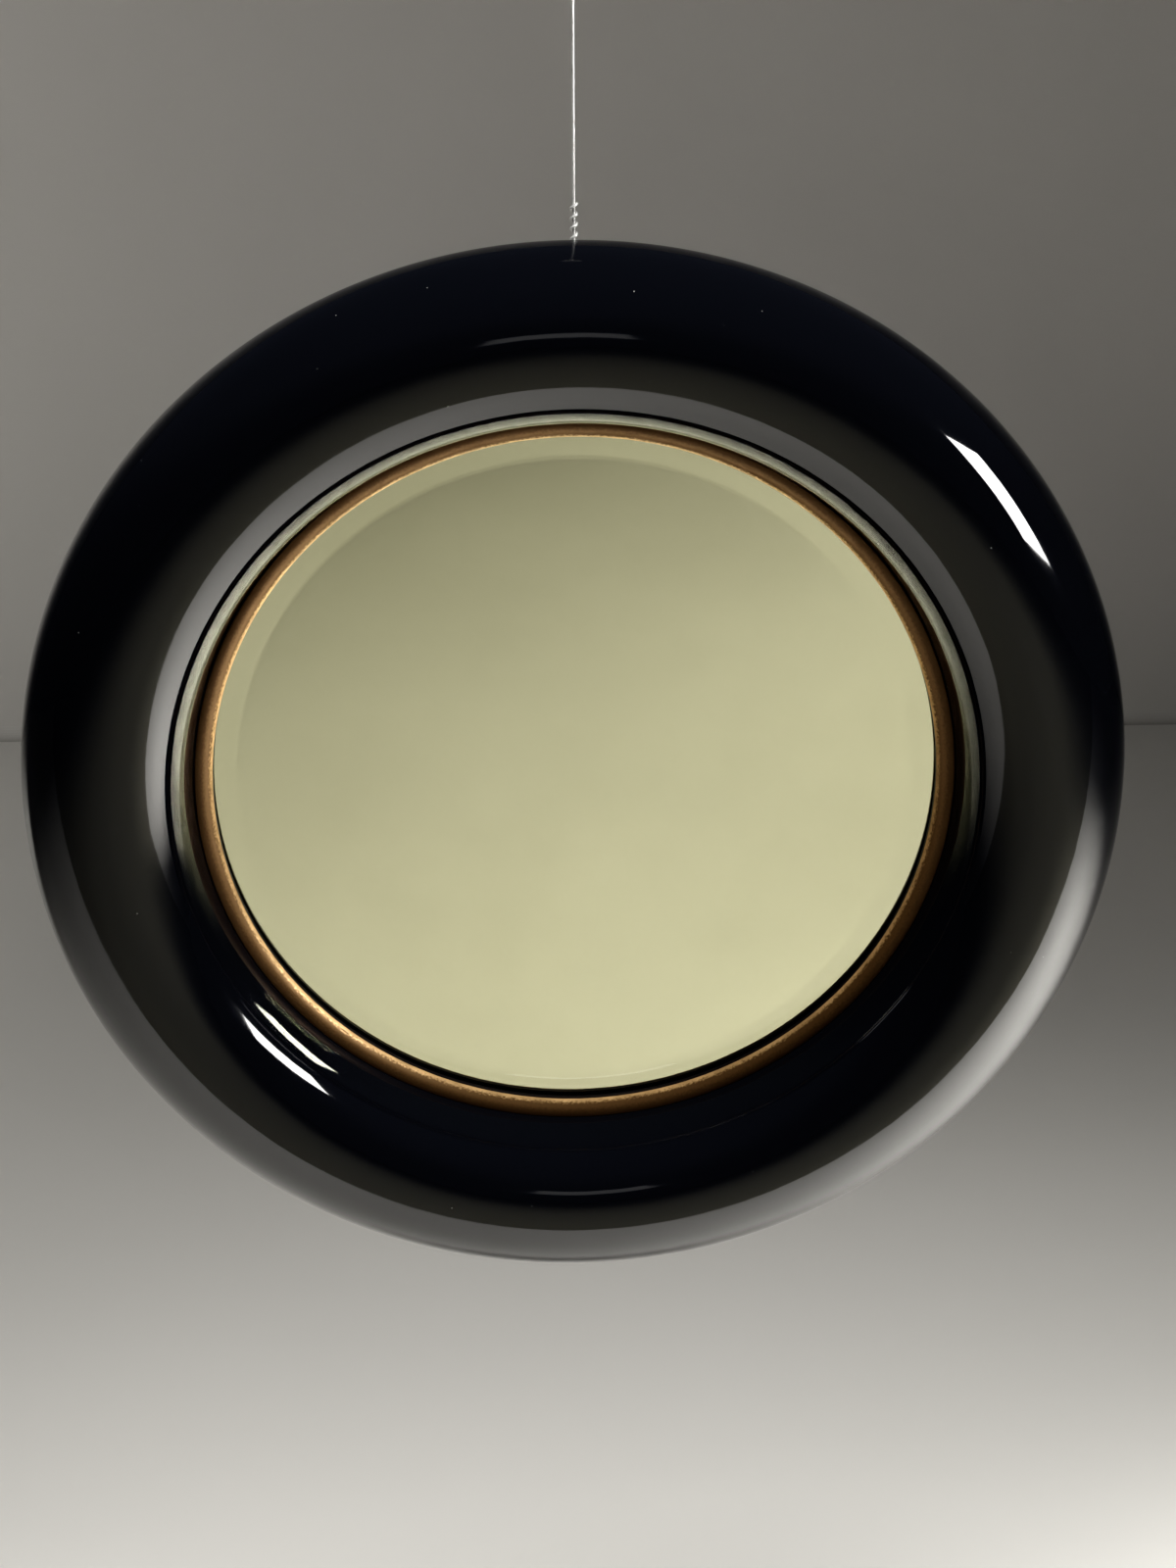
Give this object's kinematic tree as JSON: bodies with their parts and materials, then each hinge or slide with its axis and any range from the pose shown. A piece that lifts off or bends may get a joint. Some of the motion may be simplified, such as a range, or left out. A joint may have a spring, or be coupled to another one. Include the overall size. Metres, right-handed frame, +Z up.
{
  "type": "round mirror",
  "caption": "Round hanging mirror: fat glossy black turned ring, slim gilt slip, bevelled glass, closed back with turn buttons, hung by a strap hanger on a steel wire with an eye.",
  "frame": {"origin": "centre of the bore of the eye that the wire hangs from", "axes": "+Z up along the wire, the mirror faces -Y and leans 5.2 degrees as it hangs free, X across"},
  "size_m": [0.6, 0.1143, 0.7592],
  "materials": {
    "black_lacquer": "turned wood under a polished black lacquer",
    "gilding": "rubbed bronze gilding on wood, black lip",
    "looking_glass": "clear plate, bevelled and silvered",
    "silver_coat": "silver under a matt protective paint",
    "grey_felt": "soft felt sheet",
    "plywood": "sanded birch plywood",
    "cork": "natural cork",
    "brass_plate": "stamped brass plate, dulled",
    "zinc_steel": "bright zinc plate",
    "bumper_felt": "pressed felt",
    "wire_steel": "bright drawn steel"
  },
  "bodies": {
    "hanging_line": {"hanging_wire": "wire_steel", "lower_splice": "wire_steel", "upper_splice": "wire_steel", "hanging_thimble": "wire_steel", "hanger_ring": "zinc_steel"},
    "mirror": {"frame_ring": "black_lacquer", "gilt_slip": "gilding", "mirror_glass": "looking_glass", "silvering": "silver_coat", "backing_felt": "grey_felt", "backboard": "plywood", "glass_wedges": "cork", "turn_button_screws": "zinc_steel", "hanger_strap": "zinc_steel", "hanger_screws": "zinc_steel", "wall_bumpers": "bumper_felt"},
    "turn_button_1": {"turn_button_1": "brass_plate"},
    "turn_button_2": {"turn_button_2": "brass_plate"},
    "turn_button_3": {"turn_button_3": "brass_plate"},
    "turn_button_4": {"turn_button_4": "brass_plate"},
    "turn_button_5": {"turn_button_5": "brass_plate"},
    "turn_button_6": {"turn_button_6": "brass_plate"}
  },
  "joints": [
    {"name": "mirror_swing", "type": "hinge", "parent": "hanging_line", "child": "mirror", "pos_m": [0, 0, -0.178], "axis": [1, 0, 0], "range_deg": [-5.2, 84.8]},
    {"name": "turn_button_1_pivot", "type": "hinge", "parent": "mirror", "child": "turn_button_1", "pos_m": [-0.227, 0.02301, -0.44903], "axis": [0, 0.9959, 0.0906], "continuous": true},
    {"name": "turn_button_2_pivot", "type": "hinge", "parent": "mirror", "child": "turn_button_2", "pos_m": [-0.1135, 0.00519, -0.25325], "axis": [0, 0.9959, 0.0906], "continuous": true},
    {"name": "turn_button_3_pivot", "type": "hinge", "parent": "mirror", "child": "turn_button_3", "pos_m": [0.1135, 0.00519, -0.25325], "axis": [0, 0.9959, 0.0906], "continuous": true},
    {"name": "turn_button_4_pivot", "type": "hinge", "parent": "mirror", "child": "turn_button_4", "pos_m": [0.227, 0.02301, -0.44903], "axis": [0, 0.9959, 0.0906], "continuous": true},
    {"name": "turn_button_5_pivot", "type": "hinge", "parent": "mirror", "child": "turn_button_5", "pos_m": [0.1135, 0.04083, -0.64481], "axis": [0, 0.9959, 0.0906], "continuous": true},
    {"name": "turn_button_6_pivot", "type": "hinge", "parent": "mirror", "child": "turn_button_6", "pos_m": [-0.1135, 0.04083, -0.64481], "axis": [0, 0.9959, 0.0906], "continuous": true}
  ]
}
